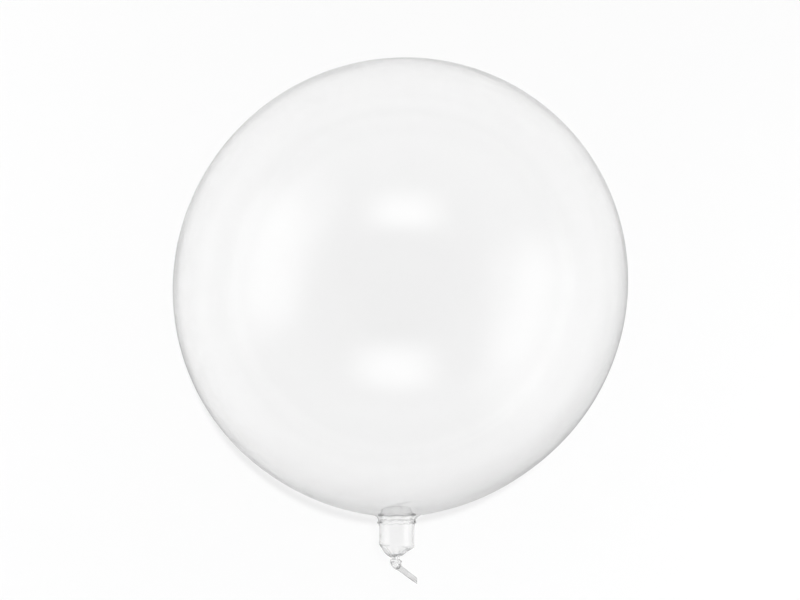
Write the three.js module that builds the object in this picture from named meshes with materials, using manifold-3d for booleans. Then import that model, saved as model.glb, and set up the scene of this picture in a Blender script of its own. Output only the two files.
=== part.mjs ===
// Clear bubble balloon, lying on its side.
//
// The balloon is one piece of clear plastic film: a blown ball, a short moulded neck below it, and an
// overhand knot tied in the neck's own film, past which the cut end of the film sticks out as a tail.
// It is filled and sealed, so it is modelled as one closed solid of its outer shape.
//
// Frame, in millimetres: +Z up. The origin is the middle of the flat spot that the ball rests on.
// The balloon's own axis lies along Y, with the crown at +Y and the neck, knot and tail towards -Y.

import * as THREE from "three";
import { mergeVertices } from "three/addons/utils/BufferGeometryUtils.js";
import Module from "manifold-3d";

const wasm = await Module();
wasm.setup();

// ---- Driving dimensions ----
// Heights along Y and places of the knot are from the ball's centre.

const BALL_R = 200; // radius of the blown ball
const REST_R = 30; // radius of the flat spot under the ball
const OVAL = 0.0106; // share by which the ball is longer along one diagonal and narrower across it
const DRAWN = 3; // how far the film is drawn out of round towards the neck
const DRAWN_FROM = 140; // angle from the crown, in degrees, where that begins

const ROOT_R = 27; // the ball turns into the neck inside this radius
const ROOT_BEND = new THREE.Vector2(17.2, -203.6); // corner of the curve from the ball to the collar
const COLLAR_R = 16.6; // flared collar at the neck's root
const COLLAR_Y = -208.4;
const TUBE_R = 15; // moulded neck tube
const TUBE_WAIST_R = 14.65; // half way down the tube
const TUBE_TOP_Y = -212.8; // the collar has narrowed to the tube here
const SHOULDER_Y = -229; // the tube ends here, and its film is gathered to the throat
const SHOULDER_LEAN = -0.1; // slope of the shoulder from side to side: it is lower on the right
const THROAT_R = 4.4; // the gathered film where it enters the knot
const THROAT_Y = -238.6;
const THROAT_LEAN = 0.16; // slope across the throat: it is lower on the left
const GATHER_BULGE = 0.8; // how far the gathered film stands out of a straight cone
const NECK_X = -1; // the neck stands a little left of the ball's axis

const PLEATS = 7; // folds of the gathered film
const PLEAT_DEPTH = 0.22; // their depth at the throat, as a share of the radius there

const KNOT = new THREE.Vector3(-0.9, -244.2, 0); // middle of the knot
const ROPE_R = 2.3; // the gathered film in the knot is a rope of this radius
const ROPE_RIDGES = 5; // with this many folds along it
const ROPE_RIDGE_DEPTH = 0.12; // their depth, as a share of the radius
const HEART_R = 3.5; // the film packed in the middle of the knot

const TAIL_WIDTH = [5.6, 4]; // the flattened film past the knot: at the knot and at its cut end
const TAIL_THICK = [2.7, 1.3];
const TAIL_TWIST = 34; // degrees that it turns over its length
const TAIL_FLAT_AT = 0.6; // share of its length where it lies level
const TAIL_CUT = 0.1; // share of its length by which the cut end slants
const TAIL_RIPPLE = 0.4; // height of the creases along it

const AROUND = 56; // sides of the ball: a multiple of the pleats
const BALL_RINGS = 30;
const FILLET_STEPS = 4;
const WELD = 1e-3; // vertices closer than this are one
const SLIVER = 0.01; // faces narrower than this are dropped where pieces are joined
const CENTRE_Z = Math.sqrt(BALL_R ** 2 - REST_R ** 2); // height of the ball's centre over the floor

// ---- Helpers ----

const { smoothstep, lerp, degToRad } = THREE.MathUtils;

// A closed three.js geometry as a solid that can be joined and cut.
function solidOf(geometry) {
  const bare = geometry.clone();
  for (const name of ["normal", "uv"]) bare.deleteAttribute(name);
  const { attributes, index } = mergeVertices(bare, WELD);
  const mesh = new wasm.Mesh({
    numProp: 3,
    vertProperties: attributes.position.array,
    triVerts: new Uint32Array(index.array),
  });
  return new wasm.Manifold(mesh);
}

// A solid as a three.js geometry, flat-shaded.
function geometryOf(solid) {
  const { vertProperties, triVerts } = solid.getMesh();
  const geometry = new THREE.BufferGeometry();
  geometry.setAttribute("position", new THREE.BufferAttribute(vertProperties, 3));
  geometry.setIndex(new THREE.BufferAttribute(triVerts, 1));
  const faceted = geometry.toNonIndexed();
  faceted.computeVertexNormals();
  return faceted;
}

// A joined solid without the slivers along its seams and the pockets that its pieces seal in.
function cleaned(solid) {
  const bodies = solid.simplify(SLIVER).decompose();
  return bodies.reduce((most, body) => (body.volume() > most.volume() ? body : most));
}

// Moves every vertex of a geometry by a function that changes the point it is given.
function reshape(geometry, change) {
  const position = geometry.attributes.position;
  const point = new THREE.Vector3();
  for (let i = 0; i < position.count; i++) {
    change(point.fromBufferAttribute(position, i));
    position.setXYZ(i, point.x, point.y, point.z);
  }
  return geometry;
}

// ---- The ball and its neck: one profile, turned about Y ----

// Distance from the ball's centre to its film, at an angle from the crown.
function ballRadius(angle) {
  return BALL_R + DRAWN * smoothstep(angle, degToRad(DRAWN_FROM), Math.PI);
}

function ballProfile() {
  const points = [new THREE.Vector2(0, BALL_R)];
  const rootAngle = Math.PI - Math.asin(ROOT_R / (BALL_R + DRAWN));
  for (let i = 1; i <= BALL_RINGS; i++) {
    const angle = (rootAngle * i) / BALL_RINGS;
    const radius = ballRadius(angle);
    points.push(new THREE.Vector2(radius * Math.sin(angle), radius * Math.cos(angle)));
  }
  return points;
}

function neckProfile(root) {
  const collar = new THREE.Vector2(COLLAR_R, COLLAR_Y);
  const fillet = new THREE.QuadraticBezierCurve(root, ROOT_BEND, collar);
  const tube = [
    new THREE.Vector2(TUBE_R, TUBE_TOP_Y),
    new THREE.Vector2(TUBE_WAIST_R, (TUBE_TOP_Y + SHOULDER_Y) / 2),
    new THREE.Vector2(TUBE_R, SHOULDER_Y),
  ];
  const gather = [0.3, 0.6, 0.85, 1].map((share) => {
    const radius = lerp(TUBE_R, THROAT_R, share) + GATHER_BULGE * Math.sin(Math.PI * share);
    return new THREE.Vector2(radius, lerp(SHOULDER_Y, THROAT_Y, share));
  });
  const closedInKnot = new THREE.Vector2(0, KNOT.y);
  return [...fillet.getPoints(FILLET_STEPS).slice(1), ...tube, ...gather, closedInKnot];
}

// Pleats the gathered film, leans the shoulder and throat, and sets the neck off to one side.
function shapeNeck(point) {
  const onNeck = smoothstep(-point.y, BALL_R, -COLLAR_Y);
  const onShoulder = smoothstep(-point.y, -TUBE_TOP_Y, -SHOULDER_Y);
  const gathered = smoothstep(-point.y, -SHOULDER_Y, -THROAT_Y);
  const fold = Math.cos(PLEATS * Math.atan2(point.z, point.x));
  const pleat = 1 + PLEAT_DEPTH * gathered * fold;
  const lean = lerp(SHOULDER_LEAN * onShoulder, THROAT_LEAN, gathered);
  point.set(
    point.x * pleat + NECK_X * onNeck,
    point.y + lean * point.x,
    point.z * pleat,
  );
}

function ballAndNeck() {
  const ball = ballProfile();
  const profile = [...ball, ...neckProfile(ball.at(-1))];
  // The profile runs from the crown down, so it is turned over for faces that point out.
  return reshape(new THREE.LatheGeometry(profile.reverse(), AROUND), shapeNeck);
}

// ---- The knot: a rope of gathered film in an overhand knot ----

// Points of the rope's centreline, from the knot's middle. The rope comes down from the throat, turns
// up in front, is wrapped round itself, and passes out through the loop at the lower left.
const CORE = [
  [-0.2, 6, 0],
  [0.2, 2, -0.8],
  [0.9, -2, -0.9],
];
const LOOP = [
  [0.9, -1.2, -0.9],
  [1.2, -3, 0.4],
  [1.9, -1.2, 2.2],
  [0.7, 1.6, 2.9],
];
const WRAP = [
  [1.1, 1.2, 2.8],
  [-2.2, 2.1, 2.2],
  [-3.4, 1.3, -0.6],
  [-1.3, 0.4, -2.9],
  [1.6, 0.6, -2.3],
  [2.2, 0.8, 0.2],
];
// The tail's centreline: out at the lower left, then off to the lower right.
const TAIL = [
  [-3.4, 3.2, -0.6],
  [-2.9, -0.2, 0.4],
  [0.5, -3.4, 1.2],
  [7.6, -9, 1],
  [20.4, -17, -0.4],
];

function throughKnot(points) {
  const placed = points.map((place) => new THREE.Vector3(...place).add(KNOT));
  return new THREE.CatmullRomCurve3(placed);
}

// A round section with folds along the rope.
function ropeSection() {
  const sides = 2 * ROPE_RIDGES;
  const corners = Array.from({ length: sides }, (_, i) => {
    const angle = (2 * Math.PI * i) / sides;
    const radius = ROPE_R * (1 + ROPE_RIDGE_DEPTH * Math.cos(ROPE_RIDGES * angle));
    return new THREE.Vector2(radius * Math.cos(angle), radius * Math.sin(angle));
  });
  return new THREE.Shape(corners);
}

function rope(points, steps) {
  return new THREE.ExtrudeGeometry(ropeSection(), { extrudePath: throughKnot(points), steps });
}

// The film packed between the turns.
function knotHeart() {
  return new THREE.SphereGeometry(HEART_R, 12, 8).translate(KNOT.x, KNOT.y, KNOT.z);
}

// ---- The tail: the cut end of the neck's film, flattened and creased ----

// A flat strip along the tail's centreline, which twists, is rippled along its creases, and has its
// lower edge the longer one.
function tail() {
  const [widthSteps, lengthSteps] = [6, 12];
  const line = throughKnot(TAIL);
  const toFloor = new THREE.Vector3(0, 0, -1);
  const along = new THREE.Vector3();
  const across = new THREE.Vector3();
  const face = new THREE.Vector3();
  return reshape(new THREE.BoxGeometry(1, 1, 1, widthSteps, 1, lengthSteps), (point) => {
    const share = (point.z + 0.5) * (1 - TAIL_CUT * (0.5 + point.x));
    line.getTangent(share, along);
    across.crossVectors(along, toFloor).normalize();
    across.applyAxisAngle(along, degToRad(TAIL_TWIST) * (share - TAIL_FLAT_AT));
    face.crossVectors(along, across);
    const ripple = TAIL_RIPPLE * Math.sin(3 * Math.PI * point.x) * smoothstep(share, 0.15, 0.6);
    const sideways = lerp(...TAIL_WIDTH, share) * point.x;
    const outwards = lerp(...TAIL_THICK, share) * point.y + ripple;
    line.getPoint(share, point);
    point.addScaledVector(across, sideways).addScaledVector(face, outwards);
  });
}

// ---- Joining ----

// The whole balloon is a little longer along one diagonal of the XY plane than along the other.
function oval(point) {
  point.set(point.x + OVAL * point.y, point.y + OVAL * point.x, point.z);
}

function floorBlock() {
  const side = 4 * BALL_R;
  return new THREE.BoxGeometry(side, side, side).translate(0, 0, -CENTRE_Z - side / 2);
}

function envelope() {
  const [ball, ...knotted] = [
    ballAndNeck(),
    rope(CORE, 5),
    rope(LOOP, 7),
    rope(WRAP, 14),
    knotHeart(),
    tail(),
  ].map(solidOf);
  const film = knotted.reduce((joined, piece) => joined.add(piece), ball);
  const rested = film.subtract(solidOf(floorBlock()));
  return reshape(geometryOf(cleaned(rested)), oval);
}

const clearFilm = new THREE.MeshStandardMaterial({
  color: 0xf3f6f7,
  roughness: 0.06,
  metalness: 0,
  transparent: true,
  opacity: 0.25,
});

const balloon = new THREE.Group();
const bubble = new THREE.Mesh(envelope(), clearFilm);
bubble.name = "bubble_envelope";
bubble.position.z = CENTRE_Z;
balloon.add(bubble);

export default balloon;
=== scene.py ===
"""Clear bubble balloon lying on its side on a pale studio floor, seen from straight above.

+Y runs along the balloon's own axis towards its crown, and the neck, knot and tail point to -Y.
"""

import math

import bpy
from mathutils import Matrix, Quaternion, Vector


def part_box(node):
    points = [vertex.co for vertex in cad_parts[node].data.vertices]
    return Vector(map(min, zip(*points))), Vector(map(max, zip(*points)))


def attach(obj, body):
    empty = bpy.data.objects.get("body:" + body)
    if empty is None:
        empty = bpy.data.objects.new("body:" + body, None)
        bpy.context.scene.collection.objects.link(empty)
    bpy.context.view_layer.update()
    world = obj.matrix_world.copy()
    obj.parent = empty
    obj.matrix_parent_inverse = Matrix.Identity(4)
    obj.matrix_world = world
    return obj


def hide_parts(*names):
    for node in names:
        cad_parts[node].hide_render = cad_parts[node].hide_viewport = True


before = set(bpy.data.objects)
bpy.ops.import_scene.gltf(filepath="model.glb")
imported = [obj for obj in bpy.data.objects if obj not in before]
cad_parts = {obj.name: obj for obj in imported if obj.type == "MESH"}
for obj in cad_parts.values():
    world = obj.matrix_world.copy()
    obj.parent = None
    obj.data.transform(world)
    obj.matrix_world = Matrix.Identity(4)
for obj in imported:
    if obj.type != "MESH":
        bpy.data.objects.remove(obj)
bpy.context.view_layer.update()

# ---- Ball and neck ----
# One skin of clear stretched plastic film, blown into a ball below which a short moulded neck is left.
# The film is thinnest on the ball and thicker in the neck, where it was hardly stretched. The neck's
# lower end is gathered into pleats where the knot draws it shut.

MM = 0.001
far_corner = Vector(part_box("bubble_envelope")[1])
BALL_R = far_corner.y  # the crown touches the far end of the CAD box
REST_R = 0.15 * BALL_R  # the round spot that flattens on the floor
CENTRE = Vector((0, 0, math.sqrt(BALL_R**2 - REST_R**2)))
REST_BLEND = 2 * MM  # how softly the film turns up round that spot
OVAL = 0.0106  # share by which the ball is longer along one diagonal
DRAWN, DRAWN_FROM = 3 * MM, math.radians(140)  # drawn out of round towards the neck

# The neck's outline, as distances from the ball's own axis and places along Y from its centre.
ROOT_R = 22 * MM
ROOT_BEND = Vector((17, -202.6)) * MM
COLLAR = Vector((16.1, -208.6)) * MM
TUBE_R, TUBE_WAIST_R = 15.6 * MM, 15.3 * MM
TUBE_TOP_Y, SHOULDER_Y, THROAT_Y = -212.8 * MM, -229 * MM, -238.6 * MM
SHOULDER_LEAN, THROAT_LEAN = -0.1, 0.16  # slopes from side to side
THROAT_R = 4.4 * MM  # where the knot draws the film shut
GATHER_BULGE = 0.4 * MM  # how far the gathered film stands out between shoulder and throat
SHOULDER_SOFT, SHOULDER_PASSES = 1.2 * MM, 2  # how far and how much the shoulder is rounded
BEAD, BEAD_WIDTH = 1.15 * MM, 0.6 * MM  # the thicker ring at the collar
NECK_X = -1 * MM  # the neck stands a little to one side
KNOT = Vector((-0.9, -244.2, 0)) * MM  # the middle of the knot

BALL_WALL, NECK_WALL = 0.35 * MM, 1.1 * MM  # thickness of the film here, more than a real one's
CAVITY_END = -237.3 * MM  # below this the gathered film is one solid bunch
PLEATS, PLEAT_DEPTH = 8, 0.13
PUCKERS, PUCKER_DEPTH = 14, 0.3 * MM  # small tucks where the ball turns into the neck
PUCKERED_FROM = 0.985  # share of the ball's radius where they begin
PUCKER_WANDER = 2  # how unevenly they lie round the neck
CROWN_DOT = 0.4 * MM  # radius of the first ring, which a fan of faces closes
AROUND, BALL_RINGS = 176, 150  # points in each ring, and rings on the ball
RING_CROWDING = 1.5  # above 1, the ball's rings lie closer together near the neck
ROOT_STEPS, COLLAR_STEPS, TUBE_STEPS, GATHER_STEPS = 30, 14, 32, 24  # rings in each part of the neck


def lerp(a, b, share):
    return a + (b - a) * share


def smoothstep(value, start, end):
    share = min(max((value - start) / (end - start), 0), 1)
    return share * share * (3 - 2 * share)


def film_outline():
    """The outside of ball and neck, from the crown down, as (distance from the axis, place along Y)."""
    root_angle = math.pi - math.asin(ROOT_R / (BALL_R + DRAWN))
    points = [Vector((CROWN_DOT, BALL_R))]
    for i in range(1, BALL_RINGS + 1):
        angle = root_angle * (1 - (1 - i / BALL_RINGS) ** RING_CROWDING)
        reach = BALL_R + DRAWN * smoothstep(angle, DRAWN_FROM, math.pi)
        points.append(Vector((math.sin(angle), math.cos(angle))) * reach)
    root = points[-1]
    for t in (i / ROOT_STEPS for i in range(1, ROOT_STEPS + 1)):
        points.append(root * (1 - t) ** 2 + ROOT_BEND * (2 * t * (1 - t)) + COLLAR * t**2)
    for t in (i / COLLAR_STEPS for i in range(1, COLLAR_STEPS + 1)):
        points.append(Vector((lerp(COLLAR.x, TUBE_R, smoothstep(t, 0, 1)), lerp(COLLAR.y, TUBE_TOP_Y, t))))
    for t in (i / TUBE_STEPS for i in range(1, TUBE_STEPS + 1)):
        waist = math.sin(math.pi * t)
        points.append(Vector((lerp(TUBE_R, TUBE_WAIST_R, waist), lerp(TUBE_TOP_Y, SHOULDER_Y, t))))
    for t in (i / GATHER_STEPS for i in range(1, GATHER_STEPS + 1)):
        bulge = GATHER_BULGE * math.sin(math.pi * t)
        points.append(Vector((lerp(TUBE_R, THROAT_R, t) + bulge, lerp(SHOULDER_Y, THROAT_Y, t))))
    for _ in range(SHOULDER_PASSES):
        for i in range(len(points) - 1):
            if abs(points[i].y - SHOULDER_Y) < SHOULDER_SOFT:
                points[i] = (points[i - 1] + points[i] * 2 + points[i + 1]) / 4
    return points


def beaded(outline):
    """The outline with the thicker ring that the mould leaves where the neck meets the ball."""
    points = []
    for point in outline:
        off = (point.y - COLLAR.y) / BEAD_WIDTH
        points.append(point + Vector((BEAD * math.exp(-off * off), 0)))
    return points


def cavity_outline(outside):
    """The same outline, moved in by the thickness of the film there."""
    points = []
    for before, here, after in zip(outside, outside[1:], outside[2:]):
        if here.y < CAVITY_END:
            break
        along = (after - before).normalized()
        wall = lerp(BALL_WALL, NECK_WALL, smoothstep(-here.y, BALL_R, -TUBE_TOP_Y))
        points.append(here + Vector((along.y, -along.x)) * wall)
    return points


def set_in_film(point, floor_gap):
    """Puts a point of the turned shape where the real film is: tucked, pleated, leaning, flat where it
    rests, slightly oval, and at the ball's height over the floor."""
    on_neck = smoothstep(-point.y, BALL_R, -COLLAR.y)
    on_shoulder = smoothstep(-point.y, -TUBE_TOP_Y, -SHOULDER_Y)
    gathered = smoothstep(-point.y, -SHOULDER_Y, -THROAT_Y)
    turn = math.atan2(point.z, point.x)
    pleat = 1 + PLEAT_DEPTH * gathered * math.cos(PLEATS * turn)
    before_root = smoothstep(-point.y, PUCKERED_FROM * BALL_R, -ROOT_BEND.y)
    near_root = before_root * (1 - smoothstep(-point.y, -COLLAR.y, -TUBE_TOP_Y))
    pucker = PUCKER_DEPTH * near_root * math.sin(PUCKERS * turn + PUCKER_WANDER * math.sin(turn + 1))
    lean = lerp(SHOULDER_LEAN * on_shoulder, THROAT_LEAN, gathered)
    x = point.x * pleat + NECK_X * on_neck
    y = point.y + lean * point.x - pucker
    z = point.z * pleat
    rest = floor_gap - CENTRE.z
    blend = max(REST_BLEND - abs(z - rest), 0)
    z = max(z, rest) + blend * blend / (4 * REST_BLEND)
    return Vector((x + OVAL * y, y + OVAL * x, z)) + CENTRE


def skin(rings, hollow=False):
    """Vertices and faces of a closed tube through rings of points, with a fan of faces at each end. They
    face out, or in where the skin is the inside of a hollow."""
    count = len(rings[0])
    verts = [point for ring in rings for point in ring]
    faces = []
    for i in range(len(rings) - 1):
        for k in range(count):
            a, b = i * count + k, i * count + (k + 1) % count
            faces.append((a, b, b + count, a + count))
    for ring, first in ((rings[0], 0), (rings[-1], len(verts) - count)):
        tip = len(verts)
        verts.append(sum(ring, Vector()) / count)
        for k in range(count):
            pair = (first + k, first + (k + 1) % count)
            faces.append((tip, *(pair if first else reversed(pair))))
    middle = sum(verts, Vector()) / len(verts)
    volume = 0
    for face in faces:
        a, *rest = (verts[i] - middle for i in face)
        volume += sum(a.dot(b.cross(c)) for b, c in zip(rest, rest[1:]))
    if (volume < 0) != hollow:
        faces = [tuple(reversed(face)) for face in faces]
    return verts, faces


def film_piece(name, skins, material):
    """An object made of one or more skins, which rides with the balloon and stands for its CAD solid."""
    verts, faces = [], []
    for more_verts, more_faces in skins:
        faces += [tuple(i + len(verts) for i in face) for face in more_faces]
        verts += more_verts
    mesh = bpy.data.meshes.new(name)
    mesh.from_pydata(verts, [], faces)
    mesh.shade_smooth()
    mesh.materials.append(material)
    piece = bpy.data.objects.new(name, mesh)
    bpy.context.collection.objects.link(piece)
    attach(piece, "root")
    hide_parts("bubble_envelope")
    return piece


def turned(outline, floor_gap, hollow=False):
    angles = [2 * math.pi * k / AROUND for k in range(AROUND)]
    rings = [
        [set_in_film(Vector((r * math.cos(a), y, r * math.sin(a))), floor_gap) for a in angles]
        for r, y in outline
    ]
    return skin(rings, hollow)


def add(tree, kind, values=None, **settings):
    """A new shader node, with values or links for its sockets."""
    node = tree.nodes.new(kind)
    for key, value in settings.items():
        setattr(node, key, value)
    for socket, value in (values or {}).items():
        if isinstance(value, bpy.types.NodeSocket):
            tree.links.new(value, node.inputs[socket])
        else:
            node.inputs[socket].default_value = value
    return node


def group(name, inputs, outputs):
    """An empty shader node group with these inputs, given as (kind, usual value), and these outputs."""
    tree = bpy.data.node_groups.new(name, "ShaderNodeTree")
    for socket, (kind, value) in inputs.items():
        made = tree.interface.new_socket(socket, in_out="INPUT", socket_type=kind)
        if value is not None:
            made.default_value = value
    for socket, kind in outputs.items():
        tree.interface.new_socket(socket, in_out="OUTPUT", socket_type=kind)
    return tree, tree.nodes.new("NodeGroupInput").outputs, tree.nodes.new("NodeGroupOutput").inputs


WAVE_SCALE = 9.0  # slow waves in each metre of the ball's film
MARK_STRETCH = (60, 9, 60)  # draw marks are finer across the balloon than along it


def film_waves_group():
    """The film's faint unevenness as a height: slow waves from stretching, and fine draw marks."""
    tree, given, out = group(
        "film_waves",
        {
            "Place": ("NodeSocketVector", None),
            "Fineness": ("NodeSocketFloat", 1.0),
            "Waves": ("NodeSocketFloat", 1.0),
            "Marks": ("NodeSocketFloat", 0.1),
        },
        {"Height": "NodeSocketFloat"},
    )
    finer = add(
        tree, "ShaderNodeVectorMath", {0: given["Place"], "Scale": given["Fineness"]}, operation="SCALE"
    )
    waves = add(tree, "ShaderNodeTexNoise", {"Vector": finer.outputs[0], "Scale": WAVE_SCALE, "Detail": 1.0})
    long_way = add(
        tree, "ShaderNodeVectorMath", {0: finer.outputs[0], 1: MARK_STRETCH}, operation="MULTIPLY"
    )
    marks = add(tree, "ShaderNodeTexNoise", {"Vector": long_way.outputs[0], "Scale": 1.0, "Detail": 2.0})
    slow = add(tree, "ShaderNodeMath", {0: waves.outputs["Fac"], 1: given["Waves"]}, operation="MULTIPLY")
    total = add(
        tree, "ShaderNodeMath",
        {0: marks.outputs["Fac"], 1: given["Marks"], 2: slow.outputs[0]},
        operation="MULTIPLY_ADD",
    )
    tree.links.new(total.outputs[0], out["Height"])
    return tree


FILM_WAVES = film_waves_group()
FILM_RELIEF = 1 * MM  # the height that the waves and marks are shares of
FILM_IOR = 1.5
DIM_ROOM = (0.16, 0.16, 0.165, 1)  # colour of the painted reflection of dark surroundings, which this white studio doesn't have
SHADOW_SLANT = (0.65, 0.88)  # slants between which the film comes to take more of a lamp's light
SHADOW_FACE_ON = 0.994  # share of the lamp's light that comes through the film face on
SHADOW_LOW, SHADOW_HIGH = (-0.6, 0.86), (-0.1, 0.98)  # (place in ball radii, share let through at a slant)


def clear_plastic(name, tint, roughness, edges, fineness, waves, marks):
    """Clear glossy film. The bands of grey are no part of real film: they stand for dim surroundings
    mirrored at its rim. edges holds (start, end, grey) for each: start and end say how slanting the view
    is, from 0 to 1, and grey is a number or a function that makes a socket. Lamps shine through the film
    by a tinted transparent shader and not by refraction, so that their shadow stays soft and pale. How
    much light they lose there is given, and is more towards the neck."""
    material = bpy.data.materials.new(name)
    material.use_nodes = True
    tree = material.node_tree
    tree.nodes.clear()
    place = add(tree, "ShaderNodeTexCoord").outputs["Object"]
    height = add(tree, "ShaderNodeGroup", node_tree=FILM_WAVES)
    tree.links.new(place, height.inputs["Place"])
    height.inputs["Fineness"].default_value = fineness
    height.inputs["Waves"].default_value = waves
    height.inputs["Marks"].default_value = marks
    bump = add(
        tree, "ShaderNodeBump", {"Height": height.outputs[0], "Strength": 1.0, "Distance": FILM_RELIEF}
    )
    film = add(
        tree, "ShaderNodeBsdfPrincipled",
        {
            "Base Color": tint, "Roughness": roughness, "IOR": FILM_IOR, "Transmission Weight": 1.0,
            "Normal": bump.outputs[0],
        },
    )
    # Painted reflection: this grey is mixed into the film where the view slants, in the bands that edges
    # gives.
    grey = add(
        tree, "ShaderNodeBsdfPrincipled",
        {"Base Color": DIM_ROOM, "Roughness": 0.5, "Specular IOR Level": 0.0},
    )
    facing = add(tree, "ShaderNodeLayerWeight", {"Blend": 0.5}).outputs["Facing"]
    total = 0.0
    for start, end, level in edges:
        strength = level(tree, place) if callable(level) else level
        band = add(
            tree, "ShaderNodeMapRange",
            {"Value": facing, "From Min": start, "From Max": end, "To Max": strength},
            interpolation_type="SMOOTHSTEP",
        )
        joined = add(
            tree, "ShaderNodeMath", {0: band.outputs[0], 1: total}, operation="ADD", use_clamp=True
        )
        total = joined.outputs[0]
    edged = add(tree, "ShaderNodeMixShader", {0: total, 1: film.outputs[0], 2: grey.outputs[0]})
    along = add(tree, "ShaderNodeSeparateXYZ", {0: place}).outputs["Y"]
    slanted = add(
        tree, "ShaderNodeMapRange",
        {
            "Value": along, "From Min": SHADOW_LOW[0] * BALL_R, "From Max": SHADOW_HIGH[0] * BALL_R,
            "To Min": SHADOW_LOW[1], "To Max": SHADOW_HIGH[1],
        },
    )
    grazed = add(
        tree, "ShaderNodeMapRange",
        {
            "Value": facing, "From Min": SHADOW_SLANT[0], "From Max": SHADOW_SLANT[1],
            "To Min": SHADOW_FACE_ON, "To Max": slanted.outputs[0],
        },
        interpolation_type="SMOOTHSTEP",
    )
    passing = add(tree, "ShaderNodeBsdfTransparent", {"Color": grazed.outputs[0]})
    path = add(tree, "ShaderNodeLightPath")
    lit = add(
        tree, "ShaderNodeMixShader",
        {0: path.outputs["Is Diffuse Ray"], 1: edged.outputs[0], 2: passing.outputs[0]},
    )
    shown = add(
        tree, "ShaderNodeMixShader",
        {0: path.outputs["Is Shadow Ray"], 1: lit.outputs[0], 2: passing.outputs[0]},
    )
    add(tree, "ShaderNodeOutputMaterial", {"Surface": shown.outputs[0]})
    return material


def set_stops(ramp, stops):
    """Gives a colour ramp these grey stops, as (place, level)."""
    for at, _ in stops[2:]:
        ramp.elements.new(at)
    ramp.interpolation = "EASE"
    for (at, level), stop in zip(stops, ramp.elements):
        stop.position, stop.color = at, (level, level, level, 1)


# Grey of the painted dark outline, a painted reflection of dim surroundings at the rim, as (place, level).
# Place runs from 0 at RIM_FOOT ball radii to 1 at the crown.
RIM_FOOT = -1.1
RIM_GREY = (
    (0.0, 0.42), (0.024, 0.42), (0.032, 0.05), (0.06, 0.05), (0.1, 0.1), (0.16, 0.24), (0.31, 0.42),
    (0.5, 0.33), (0.8, 0.2), (1.0, 0.18),
)
SHADE_WAY, SHADE_FROM, SHADE_GREY = (0.5, -0.87, 0), 0.1, (0.04, 0.15)  # from a place in ball radii
LOW_REFLECTION_FROM, LOW_REFLECTION_GREY = -0.35, 0.045  # painted reflection of the dimmer room towards the neck, from a place in ball radii


def painted_rim_line(tree, place):
    """How grey the painted dark outline is, a painted reflection at the rim: most below the ball's middle
    and down the neck, least at the neck's root.
    """
    along = add(tree, "ShaderNodeSeparateXYZ", {0: place}).outputs["Y"]
    share = add(
        tree, "ShaderNodeMapRange", {"Value": along, "From Min": RIM_FOOT * BALL_R, "From Max": BALL_R}
    ).outputs[0]
    ramp = add(tree, "ShaderNodeValToRGB", {"Fac": share})
    set_stops(ramp.color_ramp, RIM_GREY)
    return ramp.outputs["Color"]


def one_sided_shade(tree, place):
    """Stands for a dimmer part of the room, mirrored low down on the right."""
    lean = add(tree, "ShaderNodeVectorMath", {0: place, 1: SHADE_WAY}, operation="DOT_PRODUCT")
    return add(
        tree, "ShaderNodeMapRange",
        {
            "Value": lean.outputs["Value"], "From Min": SHADE_FROM * BALL_R, "From Max": BALL_R,
            "To Min": SHADE_GREY[0], "To Max": SHADE_GREY[1],
        },
        interpolation_type="SMOOTHSTEP",
    ).outputs[0]


def low_painted_reflection(tree, place):
    """Painted reflection: stands for the dimmer room mirrored all over the end towards the neck."""
    along = add(tree, "ShaderNodeSeparateXYZ", {0: place}).outputs["Y"]
    return add(
        tree, "ShaderNodeMapRange",
        {
            "Value": along, "From Min": LOW_REFLECTION_FROM * BALL_R, "From Max": -BALL_R,
            "To Min": 0.0, "To Max": LOW_REFLECTION_GREY,
        },
        interpolation_type="SMOOTHSTEP",
    ).outputs[0]


# The ball's edge bands are painted reflections of dim surroundings: the dark outline, a darker side low on
# the right, and a darker end towards the neck.
ball_film = clear_plastic(
    "blown_film", tint=(0.99, 0.99, 0.99, 1), roughness=0.06,
    edges=[(0.82, 0.97, painted_rim_line), (0.35, 0.95, one_sided_shade), (0.12, 0.6, low_painted_reflection)],
    fineness=1, waves=0.6, marks=0.05,
)
outside = film_outline()
film_piece(
    "ball_and_neck",
    [turned(beaded(outside), 0), turned(cavity_outline(outside), BALL_WALL, hollow=True)],
    ball_film,
)

# ---- Knot ----
# An overhand knot in the gathered end of the neck's own film. The bunched film is a soft rope with
# folds along it, which comes down from the throat, turns up in front, is wrapped round itself and leads
# out to the tail.

ROPE_R, ROPE_RIDGES, ROPE_RIDGE_DEPTH = 2.3 * MM, 6, 0.16
ROPE_SWELL, ROPE_SWELL_TURN = 0.07, 5  # how uneven its thickness is, and how soon that changes
ROPE_END, ROPE_END_BLUNTNESS = 0.25, 12  # how far its ends close in, and how suddenly
FOLD_TURN, FOLD_WANDER = 0.6, 1.2  # how far the folds turn round the rope, and how unevenly they lie
ROPE_SIDES, ROPE_STEP = 40, 0.25 * MM
CURVE_PARTS = 40  # straight parts between two given places, before they are spaced evenly
KNOT_VOXEL = 0.22 * MM  # the grain at which its turns are joined into one skin
JOIN_SOFTNESS, JOIN_PASSES = 0.5, 2
HEART_R, HEART_RINGS = 3.2 * MM, 16
CORE = [(-0.2, 6, 0), (0.2, 2, -0.8), (0.9, -2, -0.9)]
LOOP = [(0.9, -1.2, -0.9), (1.2, -3, 0.4), (1.9, -1.2, 2.2), (0.7, 1.6, 2.9)]
WRAP = [
    (1.1, 1.2, 2.8), (-2.2, 2.1, 2.2), (-3.4, 1.3, -0.6),
    (-1.3, 0.4, -2.9), (1.6, 0.6, -2.3), (2.2, 0.8, 0.2),
]
WAY_OUT = [(-3.1, 2.6, -0.6), (-2.7, -0.2, 0.4), (0.3, -2.9, 1.2), (2.2, -4.2, 1.2)]


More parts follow.
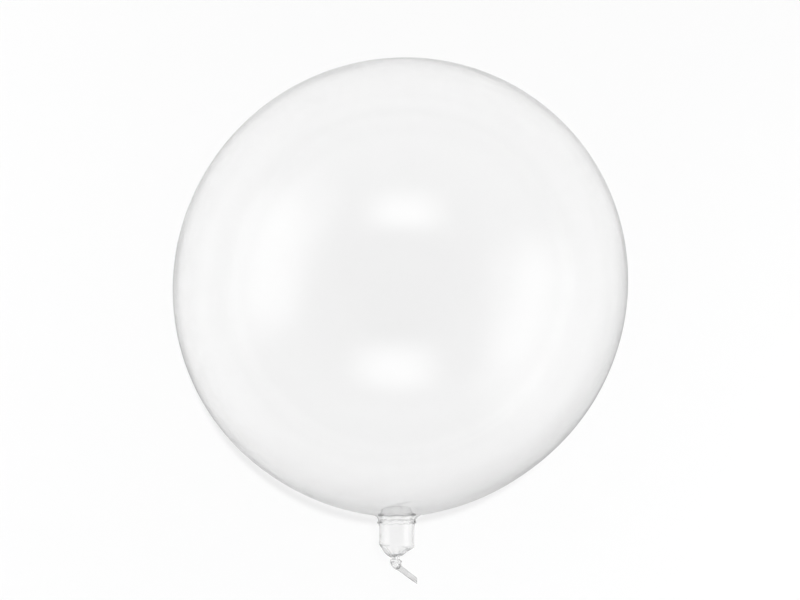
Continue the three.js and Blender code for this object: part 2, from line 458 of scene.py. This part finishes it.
def spline(points, step):
    """Evenly spaced points on a smooth curve through these places, which are in millimetres from the
    middle of the knot."""
    fixed = [KNOT + Vector(p) * MM for p in points]
    fixed = [fixed[0] * 2 - fixed[1], *fixed, fixed[-1] * 2 - fixed[-2]]
    fine = []
    for a, b, c, d in zip(fixed, fixed[1:], fixed[2:], fixed[3:]):
        for t in (i / CURVE_PARTS for i in range(CURVE_PARTS)):
            bend = (a * 2 - b * 5 + c * 4 - d) * t * t + (b * 3 - a - c * 3 + d) * t**3
            fine.append((b * 2 + (c - a) * t + bend) / 2)
    fine.append(fixed[-2])
    walked = [0]
    for a, b in zip(fine, fine[1:]):
        walked.append(walked[-1] + (b - a).length)
    count = round(walked[-1] / step)
    line, i = [], 0
    for k in range(count + 1):
        want = walked[-1] * k / count
        while i < len(fine) - 2 and walked[i + 1] < want:
            i += 1
        line.append(fine[i].lerp(fine[i + 1], (want - walked[i]) / (walked[i + 1] - walked[i])))
    return line


def frames(line):
    """At each point of a line: the point, and two directions across the line that don't twist."""
    across = Vector((0, 0, 1))
    for i, point in enumerate(line):
        along = (line[min(i + 1, len(line) - 1)] - line[max(i - 1, 0)]).normalized()
        across = (across - along * across.dot(along)).normalized()
        yield point, across, along.cross(across)


def placed(point):
    """A place in the round balloon, in the slightly oval one, at its height over the floor."""
    return Vector((point.x + OVAL * point.y, point.y + OVAL * point.x, point.z)) + CENTRE


def strand(points, seed):
    """A rope of bunched film, with folds that wander along it and rounded ends."""
    line = spline(points, ROPE_STEP)
    rings = []
    for i, (point, u, v) in enumerate(frames(line)):
        share = i / (len(line) - 1)
        closing = ROPE_END * (abs(2 * share - 1) ** ROPE_END_BLUNTNESS)
        swell = 1 + ROPE_SWELL * math.sin(ROPE_SWELL_TURN * share + seed) - closing
        ring = []
        for k in range(ROPE_SIDES):
            a = 2 * math.pi * k / ROPE_SIDES
            turned_by = ROPE_RIDGES * (a + FOLD_TURN * share)
            fold = ROPE_RIDGE_DEPTH * math.cos(turned_by + FOLD_WANDER * math.sin(a + seed))
            reach = ROPE_R * swell * (1 + fold)
            ring.append(placed(point + (u * math.cos(a) + v * math.sin(a)) * reach))
        rings.append(ring)
    return skin(rings)


def heart():
    """The film packed between the turns."""
    rings = []
    for i in range(1, HEART_RINGS):
        angle = math.pi * i / HEART_RINGS
        around = [2 * math.pi * k / ROPE_SIDES for k in range(ROPE_SIDES)]
        r, y = HEART_R * math.sin(angle), HEART_R * math.cos(angle)
        rings.append([placed(KNOT + Vector((r * math.cos(a), y, r * math.sin(a)))) for a in around])
    return skin(rings)


def melted_together(piece, voxel):
    """Joins the skins of a piece into one closed skin, and smooths the joins a little."""
    remesh = piece.modifiers.new("join", "REMESH")
    remesh.mode, remesh.voxel_size = "VOXEL", voxel
    smooth = piece.modifiers.new("soften", "SMOOTH")
    smooth.factor, smooth.iterations = JOIN_SOFTNESS, JOIN_PASSES
    shape = piece.evaluated_get(bpy.context.evaluated_depsgraph_get())
    joined = bpy.data.meshes.new_from_object(shape)
    joined.shade_smooth()
    piece.modifiers.clear()
    piece.data = joined


# Its edge bands are a painted reflection: grey where the view slants over the knot.
knot_film = clear_plastic(
    "knotted_film", tint=(0.99, 0.99, 0.99, 1), roughness=0.05,
    edges=[(0.6, 0.95, 0.4), (0.3, 0.9, 0.06)],
    fineness=14, waves=0.3, marks=0.12,
)
knot = film_piece(
    "knot",
    [
        strand(CORE, seed=0.3),
        strand(LOOP, seed=1.7),
        strand(WRAP, seed=2.9),
        strand(WAY_OUT, seed=4.4),
        heart(),
    ],
    knot_film,
)
melted_together(knot, KNOT_VOXEL)

# ---- Tail ----
# The end of the neck past the knot: a soft tube pressed flat, creased along its length, a little
# twisted, and cut off at a slant. Its two layers stand apart, and it is open at the cut.

TAIL = [(1, -2.9, 1.2), (2.6, -4.2, 1.2), (7.8, -8.2, 1), (19.6, -17, -0.4)]
TAIL_WIDTH, TAIL_THICK = (5.2 * MM, 4.2 * MM), (2.5 * MM, 1.6 * MM)  # at the knot and at the cut
TAIL_LAYER, TAIL_CLOSED = 0.35 * MM, 4  # each layer's thickness, and the last solid ring in the knot
TAIL_TWIST, TAIL_FLAT_AT = math.radians(28), 0.52
TAIL_CUT = 3 * MM  # how much further the lower edge reaches than the upper one
TAIL_RIPPLE, TAIL_HALF_WAVES, TAIL_RIPPLE_DRIFT = 0.55 * MM, 3, 0.8
TAIL_CREASED_BY = 0.5  # share of the tail's length over which the creases grow out of the knot
TAIL_SQUARENESS = 0.7  # below 1, the flat tube's edges are fuller than an oval's
TAIL_SIDES, TAIL_STEP = 48, 0.25 * MM


def tail_rings(inset):
    line = spline(TAIL, TAIL_STEP)
    rings = []
    to_floor = Vector((0, 0, -1))
    for i, point in enumerate(line):
        share = i / (len(line) - 1)
        along = (line[min(i + 1, len(line) - 1)] - line[max(i - 1, 0)]).normalized()
        across = Quaternion(along, TAIL_TWIST * (share - TAIL_FLAT_AT)) @ along.cross(to_floor).normalized()
        face = along.cross(across)
        half_width = lerp(*TAIL_WIDTH, share) / 2 - inset
        half_thick = lerp(*TAIL_THICK, share) / 2 - inset
        creased = smoothstep(share, 0, TAIL_CREASED_BY)
        ring = []
        for k in range(TAIL_SIDES):
            a = 2 * math.pi * k / TAIL_SIDES
            sideways = half_width * math.cos(a)
            u = sideways / lerp(*TAIL_WIDTH, share)
            wave = TAIL_HALF_WAVES * math.pi * u + TAIL_RIPPLE_DRIFT * share
            ripple = TAIL_RIPPLE * creased * math.sin(wave)
            full = abs(math.sin(a)) ** TAIL_SQUARENESS
            outwards = half_thick * math.copysign(full, math.sin(a)) + ripple
            back = -TAIL_CUT * share * share * (0.5 + u)
            ring.append(placed(point + across * sideways + face * outwards + along * back))
        rings.append(ring)
    return rings


tail_outside, tail_inside = tail_rings(0), tail_rings(TAIL_LAYER)

# Its edge bands are a painted reflection: grey where the view slants over the tail.
tail_film = clear_plastic(
    "creased_film", tint=(0.885, 0.885, 0.885, 1), roughness=0.14,
    edges=[(0.5, 0.95, 0.2), (0.3, 0.9, 0.2)],
    fineness=14, waves=0.4, marks=0.3,
)
film_piece("tail", [skin(tail_outside + tail_inside[:TAIL_CLOSED:-1])], tail_film)

# ---- Studio ----
# A pale paper floor under one lamp, with soft panels left, right, beyond the crown and beyond the neck
# that show as highlights in the film. The paper is painted darker far out, a painted fall-off of light,
# and the room's light changes with height, so that the film mirrors no hard horizon. The camera looks
# straight down.

FLOOR_HALF = 4.0  # half the paper's width
PAPER_NEAR, PAPER_FAR = (0.6, 0.86), (2.4, 0.6)  # (distance from the middle in metres, whiteness); the drop further out is a painted fall-off of light
KEY_LIGHT, KEY_SOFTNESS = 1.37, 1.8  # strength, and how many degrees wide the lamp looks
KEY_WAY = (-0.024, -0.088, -1)  # from just beyond the crown, so the shadow shows on the neck's side
FLOOR_Z = -0.2 * MM  # just clear of the film that rests on it
floor_mesh = bpy.data.meshes.new("paper_floor")
floor_mesh.from_pydata(
    [(x * FLOOR_HALF, y * FLOOR_HALF, FLOOR_Z) for x, y in ((-1, -1), (1, -1), (1, 1), (-1, 1))],
    [],
    [(0, 1, 2, 3)],
)
paper = bpy.data.materials.new("pale_paper")
paper.use_nodes = True
sheet = paper.node_tree.nodes["Principled BSDF"]
from_middle = add(
    paper.node_tree, "ShaderNodeVectorMath",
    {0: add(paper.node_tree, "ShaderNodeTexCoord").outputs["Object"]},
    operation="LENGTH",
).outputs["Value"]
# Painted fall-off of light: the paper's own whiteness near the middle drops further out.
whiteness_and_painted_falloff = add(
    paper.node_tree, "ShaderNodeMapRange",
    {
        "Value": from_middle, "From Min": PAPER_NEAR[0], "From Max": PAPER_FAR[0],
        "To Min": PAPER_NEAR[1], "To Max": PAPER_FAR[1],
    },
    interpolation_type="SMOOTHSTEP",
).outputs[0]
paper.node_tree.links.new(whiteness_and_painted_falloff, sheet.inputs["Base Color"])
sheet.inputs["Roughness"].default_value = 1.0
sheet.inputs["Specular IOR Level"].default_value = 0.0
floor_mesh.materials.append(paper)
floor = bpy.data.objects.new("paper_floor", floor_mesh)
bpy.context.collection.objects.link(floor)


def panel(name, place, aim, width, height, brightness, fade):
    """A rectangular soft light, which fades out over a share of its width and height at each edge. It
    doesn't show to the camera, only in the film and by its light."""
    light = bpy.data.lights.new(name, "AREA")
    light.shape, light.size, light.size_y = "RECTANGLE", width, height
    light.energy = brightness * math.pi * width * height
    light.use_nodes = True
    tree = light.node_tree
    spot = add(tree, "ShaderNodeNewGeometry").outputs["Parametric"]
    shares = [add(tree, "ShaderNodeSeparateXYZ", {0: spot}).outputs[i] for i in (0, 1)]
    levels = []
    for share in shares:
        rise = add(
            tree, "ShaderNodeMapRange", {"Value": share, "From Max": fade}, interpolation_type="SMOOTHSTEP"
        ).outputs[0]
        fall = add(
            tree, "ShaderNodeMapRange", {"Value": share, "From Min": 1.0, "From Max": 1 - fade},
            interpolation_type="SMOOTHSTEP",
        ).outputs[0]
        levels.append(add(tree, "ShaderNodeMath", {0: rise, 1: fall}, operation="MULTIPLY").outputs[0])
    strength = add(tree, "ShaderNodeMath", {0: levels[0], 1: levels[1]}, operation="MULTIPLY").outputs[0]
    tree.links.new(strength, tree.nodes["Emission"].inputs["Strength"])
    lamp = bpy.data.objects.new(name, light)
    lamp.location = place
    lamp.rotation_euler = (Vector(aim) - Vector(place)).to_track_quat("-Z", "Y").to_euler()
    lamp.visible_camera = False
    bpy.context.collection.objects.link(lamp)


panel("left", (-1.0, 0.18, 0.6), (0.3, 0.14, 0.5), width=1.7, height=1.25, brightness=0.54, fade=0.35)
panel("right", (0.95, -0.33, 0.55), (-0.3, 0.1, 0.5), width=2.0, height=1.25, brightness=0.57, fade=0.35)
panel("beyond", (0.05, 1.72, 2.9), CENTRE, width=2.8, height=1.0, brightness=0.2, fade=0.45)
panel("above_the_neck", (-0.1, -2.1, 2.6), CENTRE, width=3.4, height=2.0, brightness=1.35, fade=0.45)

key = bpy.data.lights.new("overhead", "SUN")
key.energy, key.angle = KEY_LIGHT, math.radians(KEY_SOFTNESS)
overhead = bpy.data.objects.new("overhead", key)
overhead.rotation_euler = Vector(KEY_WAY).to_track_quat("-Z", "Y").to_euler()
overhead.visible_glossy = overhead.visible_transmission = False  # it isn't mirrored in the film
bpy.context.collection.objects.link(overhead)

ROOM_LIGHT = ((0.0, 0.7), (0.2, 0.68), (0.45, 0.62), (0.75, 0.52), (0.92, 0.42), (1.0, 0.41))  # by height
FAR_WALL = (-0.22, 0.3)  # what is added beyond the neck and beyond the crown, above the horizon
FAR_WALL_AT, FAR_WALL_FOOT = 0.8, 0.3  # how far out it is full, and how high

room = bpy.data.worlds.new("room")
room.use_nodes = True
sky = room.node_tree
way = add(sky, "ShaderNodeTexCoord").outputs["Generated"]
parts = add(sky, "ShaderNodeSeparateXYZ", {0: way}).outputs
walls = add(sky, "ShaderNodeValToRGB", {"Fac": parts["Z"]})
set_stops(walls.color_ramp, ROOM_LIGHT)
far_wall = add(
    sky, "ShaderNodeMapRange",
    {
        "Value": parts["Y"], "From Min": -FAR_WALL_AT, "From Max": FAR_WALL_AT,
        "To Min": FAR_WALL[0], "To Max": FAR_WALL[1],
    },
)
raised = add(
    sky, "ShaderNodeMapRange", {"Value": parts["Z"], "From Max": FAR_WALL_FOOT},
    interpolation_type="SMOOTHSTEP",
)
both = add(
    sky, "ShaderNodeMath",
    {0: far_wall.outputs[0], 1: raised.outputs[0], 2: walls.outputs[0]},
    operation="MULTIPLY_ADD",
)
sky.links.new(both.outputs[0], sky.nodes["Background"].inputs["Strength"])
sky.nodes["Background"].inputs["Color"].default_value = (1, 1, 1, 1)
bpy.context.scene.world = room

LENS, SENSOR = 180, 36
VIEW_WIDTH = 0.7036  # how many metres the view spans from side to side at the ball's middle
AIM = Vector((-0.35 * MM, -13 * MM))
lens = bpy.data.cameras.new("camera")
lens.lens, lens.sensor_width = LENS, SENSOR
camera = bpy.data.objects.new("camera", lens)
camera.location = (AIM.x, AIM.y, CENTRE.z + VIEW_WIDTH * LENS / SENSOR)
bpy.context.collection.objects.link(camera)
bpy.context.scene.camera = camera
bpy.context.scene.view_settings.view_transform = "Standard"
